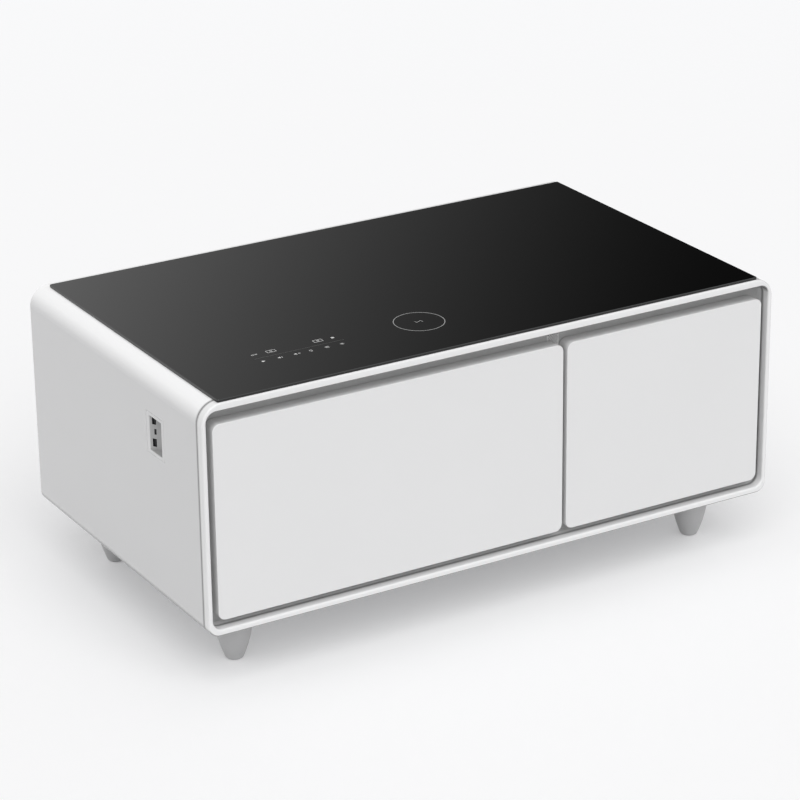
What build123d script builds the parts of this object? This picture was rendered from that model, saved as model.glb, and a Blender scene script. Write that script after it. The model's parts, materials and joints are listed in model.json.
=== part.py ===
from build123d import *
from math import cos, hypot, radians, sin
import os

# Refrigerator coffee table: a glossy wrap-around casing on four feet, with a glass top,
# two refrigerated drawers on telescopic slides and a cooling unit behind a louvred back.
# Millimetres. X runs to the right, the front faces -Y, +Z is up, and the origin is on the
# floor under the middle of the table.

# Overall size
overall_width = 1000.0
overall_depth = 580.0
overall_height = 456.0
foot_height = 89.0

# General clearances
fit_gap = 0.2
running_gap = 0.3
overrun = 5.0
least_corner = 0.5

# Casing
shell_wall = 5.0
casing_top_radius = 32.0
casing_bottom_radius = 18.0
seam_gap = 0.8
rear_flange_width = 14.0
rear_flange_thickness = 3.0

# Bezel ring round the front
bezel_depth = 16.0
bezel_side_bar = 7.4
bezel_top_bar = 12.4
bezel_bottom_bar = 10.0
bezel_inner_radius = 16.0
bezel_bead = 3.2
recess_depth = 30.0

# Glass top
glass_thickness = 4.0
glass_side_inset = 28.0
glass_front_inset = 3.5
glass_rear_inset = 14.0
glass_corner_radius = 3.0
glass_edge_chamfer = 0.8

# Drawer fronts
front_setback = 3.5
front_thickness = 24.0
front_side_gap = 10.7
front_bottom_gap = 12.8
finger_gap = 20.5
front_split_share = 0.1163
front_centre_gap = 7.2
front_corner_radius = 12.0
front_edge_round = 1.0
front_skin = 2.5
inner_panel_thickness = 2.5
gasket_width = 12.0
gasket_groove = 1.2
gasket_inset = 7.0
gasket_lip = 4.0

# Steel frame behind the drawer fronts
frame_thickness = 1.5
seal_land = 24.0
bay_corner_radius = 10.0

# Cooled bays
liner_wall = 2.0
rear_insulation_thickness = 36.0
compartment_depth = 153.0
lamp_length = 60.0
lamp_width = 16.0
lamp_thickness = 5.0
lamp_from_mouth = 40.0
lamp_chamfer = 2.0

# Drawer bins
bin_wall = 2.5
bin_floor_gap = 7.0
bin_top_gap = 30.0
bin_rear_gap = 8.0
bin_corner_radius = 14.0
bin_rim_width = 5.0
bin_rim_thickness = 3.0

# Telescopic slides
slide_width = 12.7
slide_height = 45.0
slide_steel = 1.2
slide_setback = 4.0
slide_rear_gap = 6.0
middle_web_offset = 2.4
middle_drop = 3.8
middle_lip_offset = 10.4
inner_drop = 3.8
inner_flange_depth = 7.0
outer_flange_depth = 11.0

# Feet
foot_side_inset = 84.5
foot_end_inset = 88.7
foot_top_radius = 31.0
foot_waist_height = 22.0
foot_waist_radius = 21.0
foot_toe_height = 4.0
foot_toe_radius = 14.5
foot_sole_radius = 9.5
toe_rise_share = 1 / 3
glide_radius = 8.5
glide_thickness = 3.0
glide_stand = 0.6
stud_radius = 4.0
stud_depth = 30.0
stud_above = 14.0
foot_plate_size = 64.0
foot_plate_thickness = 4.0

# Speaker and its perforated grille
grille_width = 21.0
grille_height = 34.0
grille_thickness = 1.0
grille_hole = 2.6
grille_hole_turn = 45.0
grille_pitch = 3.9
grille_row_pitch = 2.4
grille_margin = 0.8
grille_left_of_split = 5.9
grille_below_frame_top = 6.0
speaker_width = 20.0
speaker_height = 33.0
speaker_depth = 12.0
speaker_cone_radius = 8.0
speaker_cone_depth = 4.0

# Touch controls and wireless charger under the glass
touch_from_glass_side = 126.0
touch_length = 132.0
touch_from_front = 98.0
touch_breadth = 37.0
touch_board_thickness = 1.6
touch_spring_height = 5.0
touch_spring_radius = 4.0
touch_count = 6
charger_x = -71.1
charger_from_front = 118.5
charger_plate = 58.0
charger_plate_thickness = 1.5
coil_outer_radius = 25.0
coil_inner_radius = 10.0
coil_thickness = 1.6
coil_turn_gap = 1.0
coil_turns = 3
electronics_pocket_margin = 3.0

# Charging sockets in the left side
usb_plate_from_front = 125.0
usb_plate_length = 54.0
usb_plate_from_top = 65.5
usb_plate_height = 64.5
usb_plate_thickness = 2.0
usb_plate_gap = 0.4
usb_frame_width_y = 6.2
usb_frame_width_z = 4.8
usb_valley_from_front = 154.4
usb_valley_depth = 11.6
usb_wall = 2.0
usb_body_depth = 18.0
usb_socket_depth = 12.0
usb_socket_shell = 0.4
usb_a_width = 6.4
usb_a_height = 12.2
usb_c_width = 3.4
usb_c_height = 8.5
usb_rise = 1.6
usb_a_from_edge = 9.6
usb_c_from_edge = 11.4
usb_pitch = 17.5
usb_tongue = 1.6
usb_board_thickness = 1.6
usb_board_margin = 2.0

# Back panel
panel_thickness = 2.5
louvre_depth = 4.5
louvre_rise = 9.0
louvre_width = 150.0
louvre_pitch = 18.0
louvre_count = 9
louvre_wall = 1.2
louvre_stand_back = 1.5
louvre_from_condenser = 45.0
screw_head_radius = 4.0
screw_head_height = 2.2
screw_shank_radius = 1.8
screw_shank_length = 6.0
screw_inset = 9.0

# Compressor
compressor_from_side = 220.0
compressor_length = 150.0
compressor_breadth = 106.0
compressor_height = 132.0
compressor_corner = 48.0
compressor_dome = 26.0
compressor_base_round = 14.0
seam_flange = 3.5
seam_flange_thickness = 4.0
seam_flange_height = 62.0
mount_plate_length = 190.0
mount_plate_breadth = 96.0
mount_plate_thickness = 3.0
grommet_radius = 10.0
grommet_height = 14.0
grommet_neck_radius = 6.0
grommet_neck_height = 4.0
grommet_inset = 14.0
bolt_radius = 3.0
bolt_head_radius = 5.5
bolt_head_height = 4.0
terminal_box_length = 44.0
terminal_box_height = 40.0
terminal_box_depth = 14.0
port_spacing = 70.0
port_height = 18.0

# Refrigerant pipes
pipe_radius = 3.0
pipe_bend = 12.0
pipe_pass_gap = 1.0
evaporator_margin = 40.0
evaporator_plate = 1.5
evaporator_passes = 4
evaporator_tube_radius = 3.0
evaporator_port_x = 40.0
evaporator_port_share = 0.735
evaporator_low_rise = 26.0
stub_reach = 4.0
pipe_run_out = 24.0
discharge_rise = 34.0

# Condenser
condenser_x = 10.0
condenser_depth = 26.0
condenser_share = 0.54
condenser_breadth = 128.0
header_breadth = 12.0
flat_tube_thickness = 3.0
flat_tube_count = 7
fin_thickness = 0.8
fin_count = 13
condenser_port_length = 14.0
condenser_port_rise = 20.0

# Condenser fan
shroud_thickness = 2.5
shroud_duct = 22.0
shroud_size = 136.0
fan_radius = 54.0
fan_tip_gap = 3.0
duct_wall = 2.0
hub_radius = 17.0
hub_length = 18.0
blade_count = 7
blade_thickness = 1.6
blade_root_chord = 20.0
blade_tip_chord = 26.0
blade_root_pitch = 48.0
blade_tip_pitch = 30.0
blade_root_sink = 2.0
shaft_radius = 2.0
shaft_gap = 0.05
motor_radius = 20.0
motor_length = 22.0
motor_round = 4.0
motor_gap = 1.5
arm_width = 7.0
arm_thickness = 3.0
arm_count = 4
arm_turn = 45.0

# Electronics in the machine compartment
board_from_side = 135.0
board_length = 180.0
board_height = 120.0
board_thickness = 1.6
board_standoff = 8.0
board_standoff_radius = 3.5
board_standoff_inset = 8.0
capacitor_radius = 9.0
capacitor_height = 24.0
heat_sink_length = 40.0
heat_sink_depth = 20.0
heat_sink_height = 30.0
heat_sink_fin = 2.0
heat_sink_fins = 5
relay_size = 18.0
supply_from_side = 170.0
supply_length = 140.0
supply_breadth = 80.0
supply_height = 46.0
supply_lid_lip = 3.0
supply_lid_thickness = 1.5

# Mains inlet in the back panel
inlet_from_side = 80.0
inlet_above_floor = 50.0
inlet_width = 27.0
inlet_height = 20.0
inlet_corner = 3.0
inlet_flange_width = 50.0
inlet_flange_height = 24.0
inlet_flange_thickness = 2.2
inlet_depth = 20.0
inlet_wall = 1.6
inlet_pin_width = 2.0
inlet_pin_height = 4.0
inlet_pin_length = 14.0
inlet_pin_spacing = 7.0
inlet_pin_rise = 3.0

# Main planes
front_y = -overall_depth / 2
rear_y = overall_depth / 2
shell_top = overall_height - glass_thickness
shell_x = (-overall_width / 2, overall_width / 2)
shell_z = (foot_height, shell_top)
shell_y = (front_y + bezel_depth + seam_gap, rear_y)
frame_y = (front_y + recess_depth, front_y + recess_depth + frame_thickness)
panel_y = (rear_y - louvre_stand_back - louvre_depth - panel_thickness,
           rear_y - louvre_stand_back - louvre_depth)
compartment_rear_y = panel_y[0] - rear_flange_thickness
compartment_front_y = compartment_rear_y - compartment_depth
compartment_mid_y = (compartment_front_y + compartment_rear_y) / 2
liner_rear_y = compartment_front_y - rear_insulation_thickness
bay_y = (frame_y[1], liner_rear_y - liner_wall)
front_face_y = front_y + front_setback
front_back_y = front_face_y + front_thickness


def inset(pair, amount):
    return (pair[0] + amount, pair[1] - amount)


def middle(pair):
    return (pair[0] + pair[1]) / 2


def about(centre, size):
    return (centre - size / 2, centre + size / 2)


def span(start, size):
    return (start, start + size)


inside_x = inset(shell_x, shell_wall)
inside_z = inset(shell_z, shell_wall)
opening_x = inset(shell_x, bezel_side_bar)
opening_z = (shell_z[0] + bezel_bottom_bar, shell_z[1] - bezel_top_bar)
front_split_x = overall_width * front_split_share
front_z = (opening_z[0] + front_bottom_gap, opening_z[1] - finger_gap)
left_front_x = (opening_x[0] + front_side_gap, front_split_x - front_centre_gap / 2)
right_front_x = (front_split_x + front_centre_gap / 2, opening_x[1] - front_side_gap)
left_bay_x = inset(left_front_x, seal_land)
right_bay_x = inset(right_front_x, seal_land)
bay_z = inset(front_z, seal_land)
slide_y = (bay_y[0] + slide_setback, bay_y[1] - slide_rear_gap)
foot_x = overall_width / 2 - foot_side_inset
foot_y = overall_depth / 2 - foot_end_inset
foot_places = [(x, y) for y in (-foot_y, foot_y) for x in (-foot_x, foot_x)]
touch_x = span(shell_x[0] + glass_side_inset + touch_from_glass_side, touch_length)
touch_y = span(front_y + touch_from_front, touch_breadth)
charger_y = front_y + charger_from_front
usb_plate_y = span(front_y + usb_plate_from_front, usb_plate_length)
usb_plate_z = span(shell_top - usb_plate_from_top - usb_plate_height, usb_plate_height)
usb_valley_y = front_y + usb_valley_from_front
compressor_x = shell_x[0] + compressor_from_side
condenser_height = condenser_share * (inside_z[1] - inside_z[0])
board_x = span(shell_x[1] - board_from_side - board_length, board_length)
supply_x = span(shell_x[1] - supply_from_side - supply_length, supply_length)
inlet_x = shell_x[1] - inlet_from_side
louvre_field_x = (compressor_x, condenser_x + louvre_from_condenser)


def block(x, y, z):
    size = Box(x[1] - x[0], y[1] - y[0], z[1] - z[0])
    return Pos(middle(x), middle(y), middle(z)) * size


def prism(x, y, z, radius):
    """A rounded rectangle, seen from the front, drawn out along Y."""
    face = Plane((middle(x), y[1], middle(z)), x_dir=(1, 0, 0), z_dir=(0, -1, 0))
    outline = face * RectangleRounded(x[1] - x[0], z[1] - z[0], radius)
    return extrude(outline, y[1] - y[0])


def casing_prism(inset_by, y):
    """The casing's outline from the front, drawn in by inset_by and out along Y."""
    body = block(inset(shell_x, inset_by), y, inset(shell_z, inset_by))
    corners = body.edges().filter_by(Axis.Y).group_by(Axis.Z)
    body = fillet(corners[-1], max(casing_top_radius - inset_by, least_corner))
    corners = body.edges().filter_by(Axis.Y).group_by(Axis.Z)
    return fillet(corners[0], max(casing_bottom_radius - inset_by, least_corner))


def longer(pair):
    return inset(pair, -overrun)


def post(x, y, z, radius):
    return Pos(x, y, middle(z)) * Cylinder(radius, z[1] - z[0])


def rod_y(x, y, z, radius):
    return Pos(x, middle(y), z) * Rot(90, 0, 0) * Cylinder(radius, y[1] - y[0])


def rod_x(x, y, z, radius):
    return Pos(middle(x), y, z) * Rot(0, 90, 0) * Cylinder(radius, x[1] - x[0])


def save(node, shape):
    solids = shape.solids()
    whole = solids[0] if len(solids) == 1 else Compound(children=list(solids))
    export_step(whole, os.path.join("parts", node + ".step"))


def group(pieces):
    return Compound(children=[solid for piece in pieces for solid in piece.solids()])


# Casing: the shell, its bezel and the glass
def usb_plate_cut():
    outer = block(
        (shell_x[0] - overrun, shell_x[0] + usb_plate_thickness),
        inset(usb_plate_y, -usb_plate_gap),
        inset(usb_plate_z, -usb_plate_gap),
    )
    inner = block(
        (shell_x[0] - overrun, inside_x[0] + overrun),
        inset(usb_body_y, -fit_gap),
        inset(usb_body_z, -fit_gap),
    )
    return outer + inner


def outer_shell():
    shell = casing_prism(0, shell_y)
    shell -= casing_prism(shell_wall, longer(shell_y))
    flange_y = (panel_y[0] - rear_flange_thickness, panel_y[0])
    flange = casing_prism(shell_wall, flange_y)
    flange -= casing_prism(shell_wall + rear_flange_width, longer(flange_y))
    shell += flange
    shell -= usb_plate_cut()
    for x, y in foot_places:
        shell -= post(x, y, longer((shell_z[0], inside_z[0])), stud_radius + fit_gap)
    for x, z in panel_screw_places():
        shell -= rod_y(x, longer(flange_y), z, screw_shank_radius)
    return shell


def front_bezel():
    bar_y = (front_y, front_y + bezel_depth)
    bezel = casing_prism(0, bar_y)
    bezel -= prism(opening_x, longer(bar_y), opening_z, bezel_inner_radius)
    bezel = fillet(bezel.edges().group_by(Axis.Y)[0], bezel_bead)
    lip_y = (bar_y[1], frame_y[0])
    lip = casing_prism(shell_wall + fit_gap, lip_y)
    lip -= prism(opening_x, longer(lip_y), opening_z, bezel_inner_radius)
    return bezel + lip


def glass_top():
    width = overall_width - 2 * glass_side_inset
    glass_y = (front_y + glass_front_inset, rear_y - glass_rear_inset)
    outline = Pos(0, middle(glass_y), shell_top) * RectangleRounded(
        width, glass_y[1] - glass_y[0], glass_corner_radius)
    glass = extrude(outline, glass_thickness)
    return chamfer(glass.edges().group_by(Axis.Z)[-1], glass_edge_chamfer)


# Front frame with the speaker behind its perforated patch
grille_middle_x = front_split_x - grille_left_of_split
grille_x = about(grille_middle_x, grille_width)
grille_z = (opening_z[1] - grille_below_frame_top - grille_height,
            opening_z[1] - grille_below_frame_top)


def front_frame():
    frame = casing_prism(shell_wall + fit_gap, frame_y)
    for bay_x in (left_bay_x, right_bay_x):
        frame -= prism(bay_x, longer(frame_y), bay_z, bay_corner_radius)
    frame -= block(inset(grille_x, -fit_gap), longer(frame_y), inset(grille_z, -fit_gap))
    return frame


def speaker_grille():
    grille_y = (frame_y[0], frame_y[0] + grille_thickness)
    plate = block(grille_x, grille_y, grille_z)
    face = Plane((middle(grille_x), frame_y[1], middle(grille_z)),
                 x_dir=(1, 0, 0), z_dir=(0, -1, 0))
    columns = int((grille_width / 2 - grille_margin - grille_hole / 2) / grille_pitch)
    rows = int((grille_height / 2 - grille_margin - grille_hole / 2) / grille_row_pitch)
    places = []
    for row in range(-rows, rows + 1):
        shift = grille_pitch / 2 if row % 2 else 0
        for column in range(-columns, columns + (0 if row % 2 else 1)):
            places.append((column * grille_pitch + shift, row * grille_row_pitch))
    hole_side = grille_hole / 2**0.5
    hole = Rot(0, 0, grille_hole_turn) * Rectangle(hole_side, hole_side)
    return plate - [extrude(face * Pos(*place) * hole, frame_thickness + overrun)
                    for place in places]


def speaker_space():
    return (about(grille_middle_x, speaker_width),
            (frame_y[1], frame_y[1] + speaker_depth),
            about(middle(grille_z), speaker_height))


def speaker():
    x, y, z = speaker_space()
    flange_y = (frame_y[0] + grille_thickness, frame_y[1])
    body = block(x, y, z)
    body += block(inset(grille_x, fit_gap), flange_y, inset(grille_z, fit_gap))
    face = Plane((middle(x), flange_y[0], middle(z)), z_dir=(0, 1, 0))
    dish = Cone(speaker_cone_radius, speaker_cone_radius / 2, speaker_cone_depth)
    return body - face * Pos(0, 0, speaker_cone_depth / 2) * dish


# Insulation boards round the cooled bays
board_y = (bay_y[0], liner_rear_y)


def envelope(y):
    return casing_prism(shell_wall + fit_gap, y)


def top_insulation():
    board = envelope(board_y) & block(
        longer(shell_x), board_y, (bay_z[1] + liner_wall, shell_top))
    margin = electronics_pocket_margin
    depth = touch_board_thickness + touch_spring_height + fit_gap
    board -= block(inset(touch_x, -margin), inset(touch_y, -margin),
                   (inside_z[1] - depth, shell_top))
    depth = charger_plate_thickness + coil_thickness + fit_gap
    board -= block(about(charger_x, charger_plate + 2 * margin),
                   about(charger_y, charger_plate + 2 * margin),
                   (inside_z[1] - depth, shell_top))
    x, y, z = speaker_space()
    board -= block(inset(x, -fit_gap), (y[0] - overrun, y[1] + fit_gap), inset(z, -fit_gap))
    return board


def bottom_insulation():
    board = envelope(board_y) & block(
        longer(shell_x), board_y, (shell_z[0], bay_z[0] - liner_wall))
    pocket = foot_plate_size + 2 * electronics_pocket_margin
    depth = stud_above + electronics_pocket_margin
    for x in (-foot_x, foot_x):
        board -= block(about(x, pocket), about(-foot_y, pocket),
                       (shell_z[0], inside_z[0] + depth))
    return board


def side_board(x):
    return envelope(board_y) & block(x, board_y, inset(bay_z, -liner_wall))


def left_insulation():
    board = side_board((shell_x[0], left_bay_x[0] - liner_wall))
    reach = usb_plate_thickness + usb_body_depth + usb_board_thickness + usb_board_margin
    pocket_x = (shell_x[0] - overrun, shell_x[0] + reach + electronics_pocket_margin)
    margin = usb_board_margin + electronics_pocket_margin
    return board - block(pocket_x, inset(usb_body_y, -margin), inset(usb_body_z, -margin))


def right_insulation():
    return side_board((right_bay_x[1] + liner_wall, shell_x[1]))


def centre_insulation():
    return side_board((left_bay_x[1] + liner_wall, right_bay_x[0] - liner_wall))


def rear_insulation():
    y = (liner_rear_y, compartment_front_y)
    board = envelope(y)
    depth = evaporator_plate + 2 * evaporator_tube_radius + fit_gap
    for bay_x in (left_bay_x, right_bay_x):
        board -= block(inset(bay_x, evaporator_margin - fit_gap),
                       (y[0] - overrun, y[0] + depth),
                       inset(bay_z, evaporator_margin - fit_gap))
        for x in evaporator_ports(bay_x):
            board -= rod_y(x, longer(y), evaporator_port_z,
                           evaporator_tube_radius + pipe_pass_gap / 2)
    return board


# Bays: liners, evaporators and lamps
def bay_liner(bay_x):
    outer = prism(inset(bay_x, -liner_wall), (bay_y[0], liner_rear_y),
                  inset(bay_z, -liner_wall), bay_corner_radius + liner_wall)
    return outer - prism(bay_x, (bay_y[0] - overrun, bay_y[1]), bay_z, bay_corner_radius)


compressor_base = inside_z[0] + grommet_height - grommet_neck_height
mount_plate_z = span(compressor_base, mount_plate_thickness)
compressor_top = mount_plate_z[1] + compressor_height
port_end_z = compressor_top + port_height
evaporator_top_z = bay_z[1] - evaporator_margin
evaporator_port_z = port_end_z + (evaporator_top_z - port_end_z) * evaporator_port_share


def evaporator_ports(bay_x):
    return about(middle(bay_x), 2 * evaporator_port_x)


def evaporator(bay_x):
    plate_x = inset(bay_x, evaporator_margin)
    plate_z = inset(bay_z, evaporator_margin)
    plate_y = (liner_rear_y, liner_rear_y + evaporator_plate)
    shape = block(plate_x, plate_y, plate_z)
    tube_y = plate_y[1] + evaporator_tube_radius - fit_gap
    low_z = plate_z[0] + evaporator_low_rise
    pitch = (evaporator_port_z - low_z) / (evaporator_passes - 1)
    ports = evaporator_ports(bay_x)
    for side, port in enumerate(ports):
        sign = 2 * side - 1
        far_x = plate_x[side] - sign * evaporator_low_rise
        shape += rod_x(sorted((port, far_x)), tube_y, evaporator_port_z,
                       evaporator_tube_radius)
        shape += post(far_x, tube_y, (low_z, evaporator_port_z), evaporator_tube_radius)
        shape += rod_y(port, (tube_y, compartment_front_y + stub_reach),
                       evaporator_port_z, evaporator_tube_radius)
    far = inset(plate_x, evaporator_low_rise)
    for level in range(evaporator_passes - 1):
        shape += rod_x(far, tube_y, low_z + level * pitch, evaporator_tube_radius)
    return shape


def bay_lamp(bay_x):
    y = (bay_y[0] + lamp_from_mouth, bay_y[0] + lamp_from_mouth + lamp_width)
    lamp = block(about(middle(bay_x), lamp_length), y, (bay_z[1] - lamp_thickness, bay_z[1]))
    return chamfer(lamp.edges().group_by(Axis.Z)[0], lamp_chamfer)


# Telescopic slides, one pair for each drawer
def slide_section(points, mirror_x, y):
    """A closed section in X and Z at one slide, drawn out along its length."""
    wall_x, sign = mirror_x
    corners = [(wall_x + sign * x, y[1], middle(bay_z) + z) for x, z in points]
    face = make_face(Polyline(*corners, close=True))
    return extrude(face, y[1] - y[0], dir=(0, -1, 0))


def channel(web, depth, half_height):
    """A C section: a web at one side and two flanges that reach away from it."""
    steel = slide_steel if depth > 0 else -slide_steel
    tip = web + depth
    half_inside = half_height - slide_steel
    return [
        (web, -half_height), (tip, -half_height), (tip, -half_inside),
        (web + steel, -half_inside), (web + steel, half_inside), (tip, half_inside),
        (tip, half_height), (web, half_height),
    ]


def bay_sides(bay_x):
    return ((bay_x[0], 1), (bay_x[1], -1))


outer_half = slide_height / 2
middle_half = outer_half - slide_steel - middle_drop
inner_half = middle_half - slide_steel - inner_drop


def outer_rails(bay_x):
    rails = []
    for side in bay_sides(bay_x):
        rail = slide_section(channel(0, outer_flange_depth, outer_half), side, slide_y)
        rails.append(rail)
    return group(rails)


def ball_strips(side):
    """Strips that stand for the rows of balls on both faces of the middle rail."""
    wall_x, sign = side
    height = middle_drop - running_gap
    strips = []
    x_near = wall_x + sign * (middle_web_offset + slide_steel)
    x_far = wall_x + sign * middle_lip_offset
    x = tuple(sorted((x_near, x_far)))
    for up in (-1, 1):
        low = middle(bay_z) + up * middle_half
        strips.append(block(x, slide_y, tuple(sorted((low, low + up * height)))))
        low = middle(bay_z) + up * (middle_half - slide_steel)
        height_inside = inner_drop - running_gap
        strips.append(block(x, slide_y, tuple(sorted((low, low - up * height_inside)))))
    return strips


def middle_rails(bay_x):
    pieces = []
    depth = middle_lip_offset - middle_web_offset
    for side in bay_sides(bay_x):
        section = channel(middle_web_offset, depth, middle_half)
        pieces.append(slide_section(section, side, slide_y))
        pieces += ball_strips(side)
    return group(pieces)


def inner_rails(bay_x):
    rails = []
    for side in bay_sides(bay_x):
        section = channel(slide_width, -inner_flange_depth, inner_half)
        rails.append(slide_section(section, side, slide_y))
    return group(rails)


# Drawers
def drawer_front(front_x):
    y = (front_face_y, front_back_y)
    front = prism(front_x, y, front_z, front_corner_radius)
    front = fillet(front.edges().group_by(Axis.Y)[0], front_edge_round)
    hollow = prism(inset(front_x, front_skin), (y[0] + front_skin, y[1] + overrun),
                   inset(front_z, front_skin), front_corner_radius - front_skin)
    return front - hollow


def drawer_front_core(front_x):
    gap = front_skin + fit_gap
    y = (front_face_y + front_skin, front_back_y - inner_panel_thickness)
    return prism(inset(front_x, gap), y, inset(front_z, gap), front_corner_radius - gap)


def gasket_ring(front_x, y, width):
    side = gasket_inset + (gasket_width - width) / 2
    outer = prism(inset(front_x, side), y, inset(front_z, side), bay_corner_radius)
    hole_radius = bay_corner_radius / 2
    return outer - prism(inset(front_x, side + width), longer(y),
                         inset(front_z, side + width), hole_radius)


def drawer_inner_panel(front_x):
    gap = front_skin + fit_gap
    y = (front_back_y - inner_panel_thickness, front_back_y)
    panel = prism(inset(front_x, gap), y, inset(front_z, gap), front_corner_radius - gap)
    groove_y = (front_back_y - gasket_groove, front_back_y + overrun)
    return panel - gasket_ring(front_x, groove_y, gasket_width)


def drawer_gasket(front_x):
    base = gasket_ring(front_x, (front_back_y - gasket_groove, front_back_y), gasket_width)
    lip_y = (front_back_y, frame_y[0] - running_gap)
    return base + gasket_ring(front_x, lip_y, gasket_lip * 2)


def drawer_bin(bay_x):
    x = inset(bay_x, slide_width)
    y = (front_back_y, bay_y[1] - bin_rear_gap)
    z = (bay_z[0] + bin_floor_gap, bay_z[1] - bin_top_gap)
    bin_body = block(x, y, z)
    upright = bin_body.edges().filter_by(Axis.Z).group_by(Axis.Y)[-1]
    bin_body = fillet(upright, bin_corner_radius)
    hollow = block(inset(x, bin_wall), inset(y, bin_wall), (z[0] + bin_wall, z[1] + overrun))
    hollow = fillet(hollow.edges().filter_by(Axis.Z), bin_corner_radius - bin_wall)
    rim_z = (z[1] - bin_rim_thickness, z[1])
    rim = block((x[0] - bin_rim_width, x[1] + bin_rim_width), (bay_y[0], y[1]), rim_z)
    rim = fillet(rim.edges().filter_by(Axis.Z).group_by(Axis.Y)[-1], bin_corner_radius)
    return bin_body + rim - hollow


# Feet
def foot_profile():
    sole = glide_stand
    toe_bulge = (foot_toe_radius - (foot_toe_radius - foot_sole_radius) * toe_rise_share,
                 sole + (foot_toe_height - sole) * toe_rise_share)
    flank = ThreePointArc((foot_toe_radius, foot_toe_height),
                          (foot_waist_radius, foot_waist_height),
                          (foot_top_radius, foot_height))
    toe = ThreePointArc(
        (foot_sole_radius, sole), toe_bulge, (foot_toe_radius, foot_toe_height))
    rest = Polyline((foot_top_radius, foot_height), (0, foot_height), (0, sole),
                    (foot_sole_radius, sole))
    return make_face([flank, toe, rest])


def foot(x, y):
    body = revolve(Plane.XZ * foot_profile(), Axis.Z)
    body -= post(0, 0, (glide_stand - overrun, glide_thickness), glide_radius + fit_gap)
    body -= post(0, 0, (foot_height - stud_depth, foot_height + overrun),
                 stud_radius + fit_gap)
    return Pos(x, y, 0) * body


def foot_glide(x, y):
    return post(x, y, (0, glide_thickness), glide_radius)


def foot_stud(x, y):
    stud_z = (foot_height - stud_depth, inside_z[0] + stud_above)
    return post(x, y, stud_z, stud_radius)


def foot_plate(x, y):
    plate_z = (inside_z[0], inside_z[0] + foot_plate_thickness)
    plate = block(about(x, foot_plate_size), about(y, foot_plate_size), plate_z)
    boss = post(x, y, (plate_z[1], plate_z[1] + foot_plate_thickness), 2 * stud_radius)
    hole = post(x, y, longer((plate_z[0], plate_z[1] + foot_plate_thickness)),
                stud_radius + fit_gap / 2)
    return plate + boss - hole


# Touch controls and wireless charger
def touch_control_board():
    board_top = inside_z[1] - touch_spring_height
    board = block(touch_x, touch_y, (board_top - touch_board_thickness, board_top))
    span = touch_x[1] - touch_x[0]
    for key in range(touch_count):
        x = touch_x[0] + span * (key + 1 / 2) / touch_count
        board += post(x, middle(touch_y), (board_top, inside_z[1]), touch_spring_radius)
    return board


def wireless_charging_coil():
    coil_top = inside_z[1]
    coil_z = (coil_top - coil_thickness, coil_top)
    plate_z = (coil_z[0] - charger_plate_thickness, coil_z[0])
    shape = block(about(charger_x, charger_plate), about(charger_y, charger_plate), plate_z)
    turn_width = (coil_outer_radius - coil_inner_radius + coil_turn_gap) / coil_turns
    for turn in range(coil_turns):
        outer = coil_outer_radius - turn * turn_width
        ring = post(charger_x, charger_y, coil_z, outer)
        ring -= post(charger_x, charger_y, longer(coil_z), outer - turn_width + coil_turn_gap)
        shape += ring
    return shape


# Charging sockets in the left side
usb_body_y = inset(usb_plate_y, usb_frame_width_y - usb_wall)
usb_body_z = inset(usb_plate_z, usb_frame_width_z - usb_wall)
usb_opening_y = inset(usb_plate_y, usb_frame_width_y)
usb_opening_z = inset(usb_plate_z, usb_frame_width_z)
usb_slope_run = usb_opening_y[1] - usb_valley_y
usb_slope_length = hypot(usb_slope_run, usb_valley_depth)


def usb_socket_plane(from_edge, z):
    """The plane of one socket on the sloping face, with its normal pointing outwards."""
    share = from_edge / usb_slope_length
    origin = (shell_x[0] + usb_valley_depth * share,
              usb_opening_y[1] - usb_slope_run * share, z)
    along = (usb_valley_depth, -usb_slope_run, 0)
    outward = (-usb_slope_run, -usb_valley_depth, 0)
    return Plane(origin, x_dir=along, z_dir=outward)


def usb_socket_places():
    mid_z = middle(usb_opening_z) + usb_rise
    return (
        (usb_a_from_edge, mid_z - usb_pitch, usb_a_width, usb_a_height),
        (usb_c_from_edge, mid_z, usb_c_width, usb_c_height),
        (usb_a_from_edge, mid_z + usb_pitch, usb_a_width, usb_a_height),
    )


def usb_housing():
    plate = block((shell_x[0], shell_x[0] + usb_plate_thickness), usb_plate_y, usb_plate_z)
    body = block((shell_x[0] + usb_plate_thickness, shell_x[0] + usb_body_depth),
                 usb_body_y, usb_body_z)
    corners = [
        (shell_x[0] - overrun, usb_opening_y[1], usb_opening_z[0]),
        (shell_x[0], usb_opening_y[1], usb_opening_z[0]),
        (shell_x[0] + usb_valley_depth, usb_valley_y, usb_opening_z[0]),
        (shell_x[0], usb_opening_y[0], usb_opening_z[0]),
        (shell_x[0] - overrun, usb_opening_y[0], usb_opening_z[0]),
    ]
    recess = extrude(make_face(Polyline(*corners, close=True)),
                     usb_opening_z[1] - usb_opening_z[0], dir=(0, 0, 1))
    housing = plate + body - recess
    for from_edge, z, width, height in usb_socket_places():
        size = Box(width + 2 * fit_gap, height + 2 * fit_gap, 2 * usb_socket_depth)
        housing -= usb_socket_plane(from_edge, z) * size
    return housing


def usb_socket(from_edge, z, width, height):
    shell = Box(width, height, usb_socket_depth)
    wall = 2 * usb_socket_shell
    shell -= Pos(0, 0, overrun) * Box(width - wall, height - wall, usb_socket_depth + 2 * overrun
                                      - wall)
    tongue_depth = usb_socket_depth - 2 * usb_socket_shell
    tongue = Box(usb_tongue, height - 2 * wall - usb_tongue, tongue_depth)
    shell += Pos(0, 0, -usb_socket_shell) * tongue
    return usb_socket_plane(from_edge, z) * Pos(0, 0, -usb_socket_depth / 2) * shell


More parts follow.
